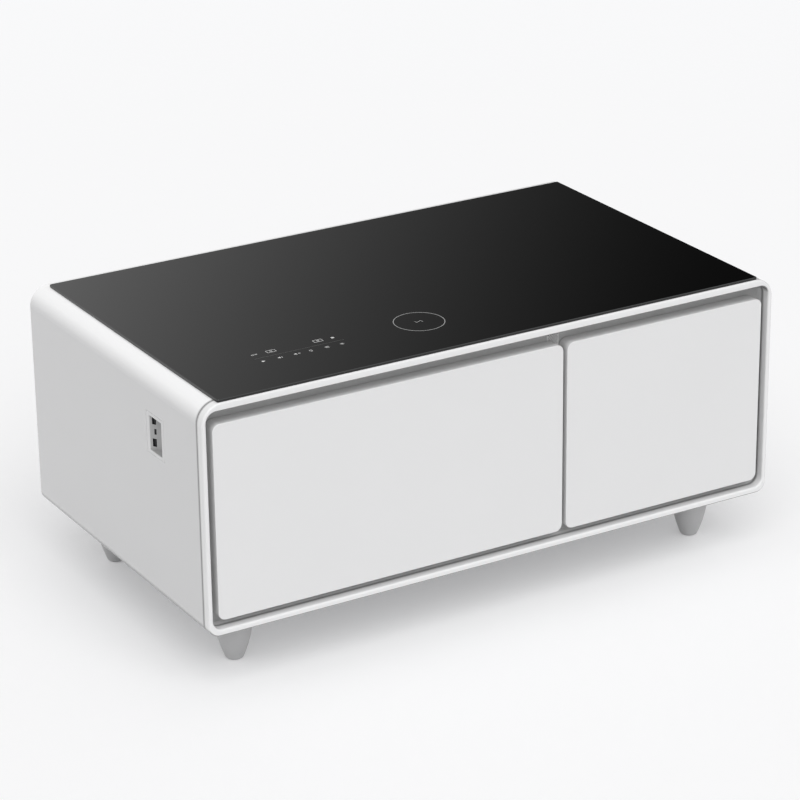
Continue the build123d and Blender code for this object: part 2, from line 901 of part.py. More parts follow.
# Back panel
def panel_screw_places():
    x_span = inset(inside_x, screw_inset)
    z_span = inset(inside_z, screw_inset)
    corner = casing_top_radius
    places = []
    for z in z_span:
        places += [(x, z) for x in (x_span[0] + corner, 0, x_span[1] - corner)]
    places += [(x, middle(inside_z)) for x in x_span]
    return places


def louvre_hood(x, z):
    """One louvre: a hood pressed out of the sheet, open along its lower edge."""
    outer = [(panel_y[1] - panel_thickness / 2, z + louvre_rise),
             (panel_y[1], z + louvre_rise),
             (panel_y[1] + louvre_depth, z), (panel_y[1] - panel_thickness / 2, z)]
    corners = [(x - louvre_width / 2, y, level) for y, level in outer]
    hood = make_face(Polyline(*corners, close=True))
    return extrude(hood, louvre_width, dir=(1, 0, 0))


def louvre_slot(x, z):
    wall = louvre_wall
    slope = louvre_depth / louvre_rise
    slot_width = louvre_width - 2 * wall
    top = z + louvre_rise - 2 * wall
    inner = [(panel_y[0] - overrun, z), (panel_y[0] - overrun, top),
             (panel_y[1], top), (panel_y[1] + (top - z) * slope, z)]
    corners = [(x - slot_width / 2, y, level) for y, level in inner]
    return extrude(make_face(Polyline(*corners, close=True)), slot_width, dir=(1, 0, 0))


def back_panel():
    panel = casing_prism(shell_wall + fit_gap, panel_y)
    for x in louvre_field_x:
        for number in range(louvre_count):
            offset = number - (louvre_count - 1) / 2
            z = middle(inside_z) + offset * louvre_pitch
            panel += louvre_hood(x, z)
            panel -= louvre_slot(x, z)
    for x, z in panel_screw_places():
        panel -= rod_y(x, longer(panel_y), z, screw_shank_radius + fit_gap)
    inlet = inset_inlet()
    panel -= prism(inset(inlet[0], -fit_gap), longer(panel_y), inset(inlet[1], -fit_gap),
                   inlet_corner)
    return panel


def panel_screw(x, z):
    head_y = (panel_y[1], panel_y[1] + screw_head_height)
    head = rod_y(x, head_y, z, screw_head_radius)
    head = fillet(head.edges().group_by(Axis.Y)[-1], screw_head_height / 2)
    return head + rod_y(x, (panel_y[1] - screw_shank_length, panel_y[1]), z,
                        screw_shank_radius)


def inset_inlet():
    return (about(inlet_x, inlet_width), about(inside_z[0] + inlet_above_floor, inlet_height))


def mains_inlet():
    x, z = inset_inlet()
    flange_y = (panel_y[1], panel_y[1] + inlet_flange_thickness)
    body_y = (flange_y[1] - inlet_depth, flange_y[1])
    body = prism(x, body_y, z, inlet_corner)
    body += prism(about(inlet_x, inlet_flange_width), flange_y,
                  about(middle(z), inlet_flange_height), inlet_corner)
    well_y = (body_y[0] + inlet_wall, body_y[1] + overrun)
    body -= prism(inset(x, inlet_wall), well_y, inset(z, inlet_wall),
                  inlet_corner - inlet_wall)
    pin_y = (well_y[0] - inlet_wall / 2, well_y[0] + inlet_pin_length)
    for step in (-1, 0, 1):
        rise = inlet_pin_rise if step else inlet_pin_rise / 2
        body += block(about(inlet_x + step * inlet_pin_spacing, inlet_pin_width), pin_y,
                      about(middle(z) + rise, inlet_pin_height))
    return body


# Compressor on its rubber mounts
def grommet_places():
    half_x = mount_plate_length / 2 - grommet_inset
    half_y = mount_plate_breadth / 2 - grommet_inset
    return [(compressor_x + i * half_x, compartment_mid_y + j * half_y)
            for i in (-1, 1) for j in (-1, 1)]


def compressor():
    low = Pos(compressor_x, compartment_mid_y, mount_plate_z[1])
    outline = RectangleRounded(compressor_length, compressor_breadth, compressor_corner)
    can = extrude(low * outline, compressor_height)
    can = fillet(can.edges().group_by(Axis.Z)[-1], compressor_dome)
    can = fillet(can.edges().group_by(Axis.Z)[0], compressor_base_round)
    rim = RectangleRounded(compressor_length + 2 * seam_flange,
                           compressor_breadth + 2 * seam_flange,
                           compressor_corner + seam_flange)
    can += extrude(low * Pos(0, 0, seam_flange_height) * rim, seam_flange_thickness)
    plate = block(about(compressor_x, mount_plate_length),
                  about(compartment_mid_y, mount_plate_breadth), mount_plate_z)
    for x, y in grommet_places():
        plate -= post(x, y, longer(mount_plate_z), grommet_neck_radius + fit_gap)
    box_x = about(compressor_x + compressor_length / 2, 2 * terminal_box_depth)
    box_z = span(mount_plate_z[1] + seam_flange_height + seam_flange_thickness,
                 terminal_box_height)
    can += block(box_x, about(compartment_mid_y, terminal_box_length), box_z)
    for side in (-1, 1):
        x = compressor_x + side * port_spacing / 2
        can += post(x, compartment_mid_y, (compressor_top - compressor_dome, port_end_z),
                    pipe_radius)
    return can + plate


def grommet(x, y):
    foot_z = (inside_z[0], compressor_base)
    neck_z = (compressor_base, compressor_base + grommet_neck_height)
    body = post(x, y, foot_z, grommet_radius) + post(x, y, neck_z, grommet_neck_radius)
    return body - post(x, y, longer((foot_z[0], neck_z[1])), bolt_radius + fit_gap)


def compressor_bolt(x, y):
    top = compressor_base + grommet_neck_height
    head_z = (top, top + bolt_head_height)
    return post(x, y, (inside_z[0], top), bolt_radius) + post(x, y, head_z,
                                                               bolt_head_radius)


# Condenser, fan and pipes
condenser_x_span = (condenser_x, condenser_x + condenser_depth)
condenser_y = about(compartment_mid_y, condenser_breadth)
condenser_z = (inside_z[0], inside_z[0] + condenser_height)
header_y = condenser_y[0] + header_breadth / 2


def condenser():
    shape = block(condenser_x_span, (condenser_y[0], condenser_y[0] + header_breadth),
                  condenser_z)
    shape += block(condenser_x_span, (condenser_y[1] - header_breadth, condenser_y[1]),
                   condenser_z)
    core_y = inset(condenser_y, header_breadth)
    pitch = condenser_height / flat_tube_count
    for tube in range(flat_tube_count):
        z = condenser_z[0] + (tube + 1 / 2) * pitch
        shape += block(condenser_x_span, longer_into_headers(core_y),
                       about(z, flat_tube_thickness))
    fin_z = (condenser_z[0] + pitch / 2, condenser_z[1] - pitch / 2)
    fin_pitch = (core_y[1] - core_y[0]) / (fin_count + 1)
    for fin in range(fin_count):
        y = core_y[0] + (fin + 1) * fin_pitch
        shape += block(condenser_x_span, about(y, fin_thickness), fin_z)
    port_z = condenser_z[1]
    shape += post(middle(condenser_x_span), header_y,
                  (port_z - header_breadth / 2, port_z + condenser_port_length), pipe_radius)
    shape += rod_x((condenser_x_span[1] - header_breadth / 2,
                    condenser_x_span[1] + condenser_port_length),
                   header_y, condenser_z[0] + condenser_port_rise, pipe_radius)
    return shape


def longer_into_headers(pair):
    return inset(pair, -header_breadth / 2)


fan_z = inside_z[0] + shroud_size / 2
duct_x = (condenser_x - shroud_duct, condenser_x)
duct_radius = fan_radius + fan_tip_gap
hub_x = about(middle(duct_x), hub_length)
motor_x = (hub_x[0] - motor_gap - motor_length, hub_x[0] - motor_gap)


def fan_shroud():
    plate_x = (condenser_x - shroud_thickness, condenser_x)
    shroud = block(plate_x, about(compartment_mid_y, shroud_size),
                   (inside_z[0], inside_z[0] + shroud_size))
    shroud += rod_x(duct_x, compartment_mid_y, fan_z, duct_radius + duct_wall)
    shroud -= rod_x(longer(duct_x), compartment_mid_y, fan_z, duct_radius)
    arm_x = (duct_x[0] - arm_thickness, duct_x[0])
    ring = rod_x(arm_x, compartment_mid_y, fan_z, duct_radius + duct_wall)
    ring -= rod_x(longer(arm_x), compartment_mid_y, fan_z, duct_radius - duct_wall)
    arms = rod_x(arm_x, compartment_mid_y, fan_z, motor_radius + duct_wall)
    for arm in range(arm_count):
        bar = Box(arm_thickness, arm_width, duct_radius)
        turn = Rot(arm_turn + 360 * arm / arm_count, 0, 0)
        arms += Pos(middle(arm_x), compartment_mid_y, fan_z) * turn * Pos(
            0, 0, duct_radius / 2) * bar
    arms -= rod_x(longer(arm_x), compartment_mid_y, fan_z, motor_radius + fit_gap)
    return shroud + ring + arms


def fan_motor():
    body = rod_x(motor_x, compartment_mid_y, fan_z, motor_radius)
    body = fillet(body.edges().group_by(Axis.X)[0], motor_round)
    return body + rod_x((motor_x[1] - motor_gap, hub_x[1]), compartment_mid_y, fan_z,
                        shaft_radius)


def blade_section(radius, chord, pitch):
    angle = radians(pitch)
    half = chord / 2
    thick = blade_thickness / 2
    corners = []
    for along, across in ((-half, -thick), (half, -thick), (half, thick), (-half, thick)):
        x = along * sin(angle) + across * cos(angle)
        y = along * cos(angle) - across * sin(angle)
        corners.append((x, y, radius))
    return make_face(Polyline(*corners, close=True))


def fan_rotor():
    blade = loft([
        blade_section(hub_radius - blade_root_sink, blade_root_chord, blade_root_pitch),
        blade_section(fan_radius, blade_tip_chord, blade_tip_pitch),
    ], ruled=True)
    centre = Pos(middle(hub_x), compartment_mid_y, fan_z)
    rotor = rod_x(hub_x, compartment_mid_y, fan_z, hub_radius)
    for number in range(blade_count):
        rotor += centre * Rot(360 * number / blade_count, 0, 0) * blade
    inside = rod_x((hub_x[0] - overrun, hub_x[1] + overrun), compartment_mid_y, fan_z,
                   shaft_radius + shaft_gap)
    return rotor - inside


def pipe(points):
    path = FilletPolyline(*points, radius=pipe_bend)
    start = Plane(path @ 0, z_dir=path % 0)
    return sweep(start * Circle(pipe_radius), path)


stub_end_y = compartment_front_y + stub_reach


def discharge_pipe():
    x = compressor_x - port_spacing / 2
    top_z = evaporator_port_z + discharge_rise
    port_x = middle(condenser_x_span)
    return pipe([
        (x, compartment_mid_y, port_end_z),
        (x, compartment_mid_y, top_z),
        (port_x, compartment_mid_y, top_z),
        (port_x, header_y, top_z),
        (port_x, header_y, condenser_z[1] + condenser_port_length),
    ])


def suction_pipe():
    x = compressor_x + port_spacing / 2
    port = evaporator_ports(left_bay_x)[0]
    return pipe([
        (port, stub_end_y, evaporator_port_z),
        (port, compartment_mid_y, evaporator_port_z),
        (x, compartment_mid_y, evaporator_port_z),
        (x, compartment_mid_y, port_end_z),
    ])


def liquid_pipes():
    low_z = condenser_z[0] + condenser_port_rise
    start_x = condenser_x_span[1] + condenser_port_length
    run_y = header_y + pipe_run_out
    rise_x = start_x + pipe_run_out
    inlet, outlet = evaporator_ports(right_bay_x)
    feed = pipe([
        (start_x, header_y, low_z),
        (rise_x, header_y, low_z),
        (rise_x, header_y, evaporator_port_z),
        (inlet, header_y, evaporator_port_z),
        (inlet, stub_end_y, evaporator_port_z),
    ])
    across_to = evaporator_ports(left_bay_x)[1]
    across = pipe([
        (outlet, stub_end_y, evaporator_port_z),
        (outlet, run_y, evaporator_port_z),
        (across_to, run_y, evaporator_port_z),
        (across_to, stub_end_y, evaporator_port_z),
    ])
    return group([feed, across])


# Electronics in the machine compartment
board_z = (evaporator_port_z - board_height - discharge_rise - pipe_run_out,
           evaporator_port_z - discharge_rise - pipe_run_out)


def control_board():
    face_y = compartment_front_y + board_standoff
    y = (face_y, face_y + board_thickness)
    board = block(board_x, y, board_z)
    for x in inset(board_x, board_standoff_inset):
        for z in inset(board_z, board_standoff_inset):
            board += rod_y(x, (compartment_front_y, face_y), z, board_standoff_radius)
    relay_x = board_x[0] + relay_size
    for row in range(2):
        z = board_z[0] + (row + 1) * 2 * relay_size
        board += block((relay_x, relay_x + relay_size), (y[1], y[1] + relay_size),
                       about(z, relay_size))
        board += rod_y(middle(board_x) - capacitor_radius, (y[1], y[1] + capacitor_height),
                       z, capacitor_radius)
    sink_x = (board_x[1] - relay_size - heat_sink_length, board_x[1] - relay_size)
    sink_z = about(middle(board_z), heat_sink_height)
    board += block(sink_x, (y[1], y[1] + heat_sink_fin), sink_z)
    pitch = (heat_sink_length - heat_sink_fin) / (heat_sink_fins - 1)
    for fin in range(heat_sink_fins):
        x = sink_x[0] + fin * pitch
        board += block((x, x + heat_sink_fin), (y[1], y[1] + heat_sink_depth), sink_z)
    return board


def power_supply():
    x = supply_x
    y = about(compartment_mid_y, supply_breadth)
    z = (inside_z[0], inside_z[0] + supply_height)
    case = block(x, y, z)
    lid_z = (z[1] - supply_lid_thickness, z[1])
    return case + block(inset(x, -supply_lid_lip), inset(y, -supply_lid_lip), lid_z)


def usb_board():
    x = shell_x[0] + usb_body_depth
    board = block((x, x + usb_board_thickness), inset(usb_body_y, -usb_board_margin),
                  inset(usb_body_z, -usb_board_margin))
    return board


def main():
    os.makedirs("parts", exist_ok=True)
    save("outer_shell", outer_shell())
    save("front_bezel", front_bezel())
    save("glass_top", glass_top())
    save("front_frame", front_frame())
    save("speaker_grille", speaker_grille())
    save("speaker", speaker())
    save("top_insulation", top_insulation())
    save("bottom_insulation", bottom_insulation())
    save("left_insulation", left_insulation())
    save("right_insulation", right_insulation())
    save("centre_insulation", centre_insulation())
    save("rear_insulation", rear_insulation())
    save("bay_lamps", group([bay_lamp(left_bay_x), bay_lamp(right_bay_x)]))
    sides = (("left", left_front_x, left_bay_x), ("right", right_front_x, right_bay_x))
    for side, front_x, bay_x in sides:
        save(side + "_bay_liner", bay_liner(bay_x))
        save(side + "_evaporator", evaporator(bay_x))
        save(side + "_outer_rails", outer_rails(bay_x))
        save(side + "_middle_rails", middle_rails(bay_x))
        save(side + "_inner_rails", inner_rails(bay_x))
        save(side + "_drawer_front", drawer_front(front_x))
        save(side + "_drawer_front_core", drawer_front_core(front_x))
        save(side + "_drawer_inner_panel", drawer_inner_panel(front_x))
        save(side + "_drawer_gasket", drawer_gasket(front_x))
        save(side + "_drawer_bin", drawer_bin(bay_x))
    names = ("front_left_foot", "front_right_foot", "rear_left_foot", "rear_right_foot")
    for name, place in zip(names, foot_places):
        save(name, foot(*place))
    save("foot_glides", group([foot_glide(*place) for place in foot_places]))
    save("foot_studs", group([foot_stud(*place) for place in foot_places]))
    save("foot_mounting_plates", group([foot_plate(*place) for place in foot_places]))
    save("touch_control_board", touch_control_board())
    save("wireless_charging_coil", wireless_charging_coil())
    save("usb_housing", usb_housing())
    save("usb_sockets", group([usb_socket(*place) for place in usb_socket_places()]))
    save("usb_board", usb_board())
    save("back_panel", back_panel())
    save("back_panel_screws", group([panel_screw(*place) for place in panel_screw_places()]))
    save("mains_inlet", mains_inlet())
    save("compressor", compressor())
    save("compressor_grommets", group([grommet(*place) for place in grommet_places()]))
    save("compressor_bolts", group([compressor_bolt(*place) for place in grommet_places()]))
    save("condenser", condenser())
    save("fan_shroud", fan_shroud())
    save("fan_motor", fan_motor())
    save("fan_rotor", fan_rotor())
    save("discharge_pipe", discharge_pipe())
    save("suction_pipe", suction_pipe())
    save("liquid_pipes", liquid_pipes())
    save("control_board", control_board())
    save("power_supply", power_supply())


main()
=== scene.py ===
import json
from math import cos, pi, sin

import bmesh
import bpy
from bpy.props import FloatProperty, FloatVectorProperty, PointerProperty
from mathutils import Matrix, Vector


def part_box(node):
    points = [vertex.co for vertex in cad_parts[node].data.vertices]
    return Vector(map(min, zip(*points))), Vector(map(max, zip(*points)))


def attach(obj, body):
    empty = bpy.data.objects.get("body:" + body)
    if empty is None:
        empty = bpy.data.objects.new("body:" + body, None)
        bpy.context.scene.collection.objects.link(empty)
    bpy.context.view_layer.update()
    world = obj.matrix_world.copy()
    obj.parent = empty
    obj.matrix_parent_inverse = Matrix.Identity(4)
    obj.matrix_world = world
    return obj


bl_info = {
    "name": "Refrigerator coffee table",
    "version": (1, 0, 0),
    "blender": (4, 5, 0),
    "location": "3D View > Sidebar > Table",
    "description": "Finishes, printed marks and studio for a refrigerator coffee table",
    "category": "Object",
}

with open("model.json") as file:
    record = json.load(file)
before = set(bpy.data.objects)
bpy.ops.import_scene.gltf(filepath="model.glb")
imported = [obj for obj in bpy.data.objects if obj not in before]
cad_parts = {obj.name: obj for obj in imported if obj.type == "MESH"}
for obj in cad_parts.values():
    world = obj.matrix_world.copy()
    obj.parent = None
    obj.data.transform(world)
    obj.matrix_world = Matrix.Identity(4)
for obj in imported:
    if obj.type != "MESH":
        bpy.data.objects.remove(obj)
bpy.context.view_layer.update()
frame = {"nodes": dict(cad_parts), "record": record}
glass_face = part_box("glass_top")[1].z
millimetre = 0.001

# The charging bolt's corners, in millimetres from the middle of its ring
bolt_corners = ((-5.3, 3.9), (-4.6, -1.4), (4.2, 2.8), (4.8, -3.2))

# Where the touch marks stand across the table, in metres from its centre
arrow_x = -0.3452
speaker_x = -0.3181
sound_wave_x = -0.3175
louder_x = -0.2912
plus_x = -0.2865
lamp_x = -0.2665
air_x = -0.2393
frost_x = -0.2141
list_x = -0.3447
display_places = (-0.3173, -0.2386)
lock_x = -0.2140
divider_ends = (-0.353, -0.2027)

# The touch marks' shapes, in halves of an icon's height from the middle of each
arrow = ((-0.8, -0.85), (0.9, 0.0), (-0.8, 0.85))
speaker_horn = (
    (-1.0, -0.35), (-0.45, -0.35), (0.2, -0.95), (0.2, 0.95), (-0.45, 0.35), (-1.0, 0.35))
plus_across = ((-0.6, 0.0), (0.8, 0.0))
plus_upright = ((0.1, -0.7), (0.1, 0.7))
lamp_base = ((-0.35, -1.0), (0.35, -1.0))
air_wave = ((-0.9, -0.15), (-0.3, 0.15), (0.3, -0.15), (0.9, 0.15))
air_rises = (-0.6, 0.0, 0.6)
list_square = ((-1.4, -0.45), (-0.4, -0.45), (-0.4, 0.45), (-1.4, 0.45), (-1.4, -0.45))
list_lower_line = ((0.1, -0.2), (1.3, -0.2))
list_upper_line = ((0.1, 0.35), (1.3, 0.35))
display_frame = ((-2.1, -1.2), (2.1, -1.2), (2.1, 1.2), (-2.1, 1.2), (-2.1, -1.2))
display_digit = ((-0.35, -0.6), (0.35, -0.6), (0.35, 0.6), (-0.35, 0.6), (-0.35, -0.6))
lock_body = ((-0.7, -0.9), (0.7, -0.9), (0.7, 0.15), (-0.7, 0.15))

# The Mix node's sockets by number, because several of them share a name
mix_share = 0
mix_first_colour = 6
mix_second_colour = 7
mix_result_colour = 2


# Settings that a user would change
def colour_setting(name, description, default):
    return FloatVectorProperty(
        name=name, description=description, default=default,
        subtype="COLOR", size=3, min=0.0, max=1.0)


def length_setting(name, description, default):
    return FloatProperty(
        name=name, description=description, default=default,
        subtype="DISTANCE", unit="LENGTH", min=0.0)


def place_setting(name, description, default):
    return FloatProperty(
        name=name, description=description, default=default, subtype="DISTANCE", unit="LENGTH")


def angle_setting(name, description, default):
    return FloatProperty(
        name=name, description=description, default=default, subtype="ANGLE", unit="ROTATION")


def share_setting(name, description, default):
    return FloatProperty(
        name=name, description=description, default=default, subtype="FACTOR", min=0.0, max=1.0)


class TableFinishes(bpy.types.PropertyGroup):
    # Painted light: one white enamel given as two copies, painted darker on the casing's sides and
    # lighter where the casing faces up
    enamel: colour_setting(
        "Enamel", "Gloss enamel of the casing's sides", (0.69, 0.69, 0.695))
    painted_lit_enamel: colour_setting(
        "Upper enamel", "The same enamel where the casing turns up", (0.96, 0.96, 0.965))
    bezel_enamel: colour_setting("Bezel enamel", "Gloss enamel of the bezel", (0.86, 0.86, 0.865))
    enamel_roughness: share_setting("Enamel roughness", "Roughness of the gloss enamel", 0.22)
    drawer_face: colour_setting(
        "Drawer face", "Satin finish of the drawer fronts", (0.814, 0.814, 0.819))
    # Painted shade: the drawer fronts' edges darker away from the face, in the gaps round the
    # drawers
    drawer_gap_shade: colour_setting(
        "Drawer edge", "Rear part of the drawer fronts' edges", (0.56, 0.56, 0.56))
    drawer_roughness: share_setting("Drawer roughness", "Roughness of the drawer fronts", 0.286)
    glass: colour_setting("Glass", "Black backing seen through the glass top", (0.0008,) * 3)
    ground_edge: colour_setting("Ground edge", "Ground bevel of the glass", (0.035, 0.037, 0.037))
    frame_paint: colour_setting(
        "Frame paint", "Grey paint of the sheet behind the drawers", (0.52, 0.52, 0.52))
    grille: colour_setting("Grille", "Speaker grille", (0.9, 0.9, 0.9))
    # Painted shade inside the grille's holes
    grille_hole_shade: colour_setting("Grille holes", "Holes of the speaker grille", (0.01,) * 3)
    foot: colour_setting("Feet", "Moulded feet", (0.55, 0.55, 0.555))
    liner: colour_setting("Liner", "Liners, bins and inner panels", (0.78, 0.8, 0.82))
    back_panel: colour_setting("Back panel", "Louvred back panel", (0.7, 0.7, 0.71))
    socket_housing: colour_setting(
        "Socket housing", "Housing round the charging sockets", (0.76, 0.76, 0.765))
    # Painted shade in the recess behind the socket plate
    socket_recess_shade: colour_setting(
        "Socket recess", "Sloping face that holds the sockets", (0.4, 0.4, 0.4))
    # Painted shadow fading out either side of the joint between the casing and its bezel
    joint_shadow: colour_setting(
        "Joint", "Joint between the casing and its bezel", (0.22, 0.22, 0.22))
    joint_reach: length_setting("Joint reach", "How far the joint's shadow reaches", 0.0045)
    # Painted shade: a dark band where the casing curves under
    painted_underside_shade: colour_setting("Lower edge", "Where the casing curves under", (0.2, 0.2, 0.2))


class TableInsides(bpy.types.PropertyGroup):
    gasket: colour_setting("Gaskets", "Sealing rings of the drawers", (0.05, 0.05, 0.051))
    foam: colour_setting("Foam", "Insulation foam", (0.85, 0.78, 0.55))
    lamp_lens: colour_setting("Lamp lenses", "Lenses of the bay lamps", (0.88, 0.9, 0.92))
    zinc: colour_setting("Zinc", "Zinc-plated slides, screws and studs", (0.52, 0.53, 0.55))
    aluminium: colour_setting("Aluminium", "Evaporators and condenser", (0.66, 0.67, 0.69))
    copper: colour_setting("Copper", "Pipes and charging coil", (0.62, 0.3, 0.18))
    tarnish: colour_setting("Tarnish", "Tarnished patches on the copper", (0.3, 0.14, 0.09))
    rubber: colour_setting("Rubber", "Foot glides and grommets", (0.03, 0.03, 0.03))
    black_plastic: colour_setting(
        "Black plastic", "Fan, speaker, inlet and sockets", (0.015, 0.015, 0.016))
    compressor_paint: colour_setting(
        "Compressor paint", "Gloss paint of the compressor", (0.012, 0.012, 0.013))
    board: colour_setting("Circuit boards", "Solder mask of the boards", (0.015, 0.12, 0.05))
    tracks: colour_setting("Tracks", "Tracks under the solder mask", (0.03, 0.2, 0.09))


class TableMarks(bpy.types.PropertyGroup):
    ink: colour_setting("Ink", "Pale ink of the charging ring and bolt", (0.46, 0.46, 0.46))
    icon_ink: colour_setting("Icon ink", "Paler ink of the touch icons", (0.8, 0.8, 0.8))
    divider_ink: colour_setting("Divider ink", "Dimmer ink of the long line", (0.1,) * 3)
    ink_height: length_setting("Ink height", "How far the ink stands on the glass", 0.00006)
    ring_x: place_setting("Ring X", "Middle of the charging ring from the centre", -0.0711)
    ring_y: place_setting("Ring Y", "Middle of the charging ring from the centre", -0.1715)
    ring_radius: length_setting("Ring radius", "Outer radius of the charging ring", 0.0393)
    ring_line: length_setting("Ring line", "Width of the ring's line", 0.0011)
    icon_size: length_setting("Icon size", "Height of one touch icon", 0.0068)
    icon_line: length_setting("Icon line", "Width of the icons' lines", 0.0008)
    icon_row_y: place_setting("Icon row", "Line on which the touch icons stand", -0.1893)
    display_row_y: place_setting("Display row", "Line on which the displays stand", -0.1596)
    divider_y: place_setting("Divider", "Line between icons and displays", -0.1756)
    divider_line: length_setting("Divider line", "Width of the divider", 0.0006)


class TableStage(bpy.types.PropertyGroup):
    floor: colour_setting("Floor", "Studio floor as the lamps light it", (0.726, 0.726, 0.729))
    floor_glow: share_setting(
        "Floor glow", "How much of the background's white the floor shows", 0.27)
    background: colour_setting("Background", "Studio background", (0.955, 0.957, 0.972))
    floor_radius: length_setting("Floor radius", "Where the floor has faded out", 6.0)
    ambient: FloatProperty(
        name="Ambient", description="Strength of the light from all round", default=0.563, min=0.0)
    key: FloatProperty(
        name="Key light", description="Strength of the soft lamp overhead", default=1.53, min=0.0)
    key_spread: angle_setting("Key spread", "Angle that the soft lamp fills", 1.1)
    camera_x: place_setting("Camera X", "Camera place", -2.30706)
    camera_y: place_setting("Camera Y", "Camera place", -3.91314)
    camera_z: place_setting("Camera Z", "Camera place", 2.11162)
    camera_turn: angle_setting("Camera turn", "Turn about the vertical", 0.53176)
    camera_dip: angle_setting("Camera dip", "How far the camera looks down", 0.38815)
    camera_roll: angle_setting("Camera roll", "Roll about the line of sight", -0.01228)
    camera_lens: FloatProperty(
        name="Lens", description="Focal length in millimetres", default=139.996, min=1.0)


# Building finishes from nodes
class Finish:
    """One material: a principled shader with patterns in object space."""

    def __init__(self, name, colour, roughness, metallic=0.0):
        self.material = bpy.data.materials.new(name)
        self.material.use_nodes = True
        self.tree = self.material.node_tree
        self.shader = self.tree.nodes["Principled BSDF"]
        self.colour = (*colour, 1.0)
        self.shader.inputs["Base Color"].default_value = self.colour
        self.shader.inputs["Roughness"].default_value = roughness
        self.shader.inputs["Metallic"].default_value = metallic
        self.place = self.add("ShaderNodeTexCoord").outputs["Object"]
        self.normal = None

    def add(self, kind, **settings):
        """A new node of that kind with those settings."""
        node = self.tree.nodes.new(kind)
        for key, value in settings.items():
            setattr(node, key, value)
        return node

    def set(self, **values):
        """Sets plain values on the shader's own sockets."""
        for name, value in values.items():
            self.shader.inputs[name.replace("_", " ")].default_value = value
        return self

    def stretched(self, stretch):
        """The place with each axis times its stretch."""
        mapping = self.add("ShaderNodeMapping")
        mapping.inputs["Scale"].default_value = stretch
        self.tree.links.new(self.place, mapping.inputs["Vector"])
        return mapping.outputs["Vector"]

    def noise(self, size, detail=3.0, stretch=(1.0, 1.0, 1.0)):
        """Cloudy noise with features of that size in metres."""
        node = self.add("ShaderNodeTexNoise")
        node.inputs["Scale"].default_value = 1.0 / size
        node.inputs["Detail"].default_value = detail
        self.tree.links.new(self.stretched(stretch), node.inputs["Vector"])
        return node.outputs["Fac"]

    def cells(self, size):
        """Rounded cells of that size in metres."""
        node = self.add("ShaderNodeTexVoronoi")
        node.inputs["Scale"].default_value = 1.0 / size
        self.tree.links.new(self.place, node.inputs["Vector"])
        return node.outputs["Distance"]

    def patches(self, size):
        """A flat random value for each cell."""
        node = self.add("ShaderNodeTexVoronoi")
        node.inputs["Scale"].default_value = 1.0 / size
        self.tree.links.new(self.place, node.inputs["Vector"])
        grey = self.add("ShaderNodeSeparateColor")
        self.tree.links.new(node.outputs["Color"], grey.inputs["Color"])
        return grey.outputs["Red"]

    def ranged(self, value, start, end, low, high):
        """Turns start to end into low to high."""
        node = self.add("ShaderNodeMapRange")
        for name, number in (
                ("From Min", start), ("From Max", end), ("To Min", low), ("To Max", high)):
            node.inputs[name].default_value = number
        self.tree.links.new(value, node.inputs["Value"])
        return node.outputs["Result"]

    def tint(self, pattern, other, start=0.3, end=0.7):
        """The colour turns into other where the pattern rises from start to end."""
        mix = self.add("ShaderNodeMix", data_type="RGBA")
        base = self.shader.inputs["Base Color"]
        first = mix.inputs[mix_first_colour]
        if base.is_linked:
            self.tree.links.new(base.links[0].from_socket, first)
        else:
            first.default_value = self.colour
        mix.inputs[mix_second_colour].default_value = (*other, 1.0)
        share = self.ranged(pattern, start, end, 0.0, 1.0)
        self.tree.links.new(share, mix.inputs[mix_share])
        self.tree.links.new(mix.outputs[mix_result_colour], base)
        return self

    def shade(self, pattern, share, start=0.3, end=0.7):
        """The colour varies by that share of itself."""
        return self.tint(pattern, [part * (1.0 - share) for part in self.colour[:3]], start, end)

    def scuff(self, pattern, low, high, start=0.3, end=0.7):
        """The roughness varies between low and high."""
        self.tree.links.new(
            self.ranged(pattern, start, end, low, high), self.shader.inputs["Roughness"])
        return self

    def along(self, axis):
        """The place along one axis."""
        split = self.add("ShaderNodeSeparateXYZ")
        self.tree.links.new(self.place, split.inputs["Vector"])
        return split.outputs[axis]

    def facing(self, axis):
        """How much the surface faces along one axis, from minus one to one."""
        split = self.add("ShaderNodeSeparateXYZ")
        normal = self.add("ShaderNodeNewGeometry").outputs["Normal"]
        self.tree.links.new(normal, split.inputs["Vector"])
        return split.outputs[axis]

    def away_from(self, value, middle):
        """How far the value is from middle, either way."""
        less = self.add("ShaderNodeMath", operation="SUBTRACT")
        self.tree.links.new(value, less.inputs[0])
        less.inputs[1].default_value = middle
        size = self.add("ShaderNodeMath", operation="ABSOLUTE")
        self.tree.links.new(less.outputs["Value"], size.inputs[0])
        return size.outputs["Value"]

    def raise_by(self, pattern, height):
        """The pattern raises the surface by that height in metres."""
        bump = self.add("ShaderNodeBump")
        bump.inputs["Distance"].default_value = height
        self.tree.links.new(pattern, bump.inputs["Height"])
        if self.normal is not None:
            self.tree.links.new(self.normal, bump.inputs["Normal"])
        self.normal = bump.outputs["Normal"]
        self.tree.links.new(self.normal, self.shader.inputs["Normal"])
        return self


def dress(slot, finish):
    """Gives a finish to every node that the record puts in that slot."""
    for part in frame["record"]["subparts"]:
        if part["material_slot"] == slot:
            dress_node(part["node"], finish)


def dress_node(node, finish):
    """Gives a finish to one node of the frame."""
    for place in frame["nodes"][node].material_slots:
        place.material = finish.material


def enamel(name, colour, roughness):
    """Sprayed gloss enamel: a faint orange peel under a clear coat."""
    finish = Finish(name, colour, roughness)
    spread = 0.015 * roughness
    finish.shade(finish.noise(size=0.22), share=0.012)
    finish.scuff(finish.noise(size=0.03, detail=5.0), roughness - spread, roughness + spread)
    finish.raise_by(finish.noise(size=0.0028, detail=2.0), height=0.0000002)
    return finish.set(Coat_Weight=0.5, Coat_Roughness=0.05)


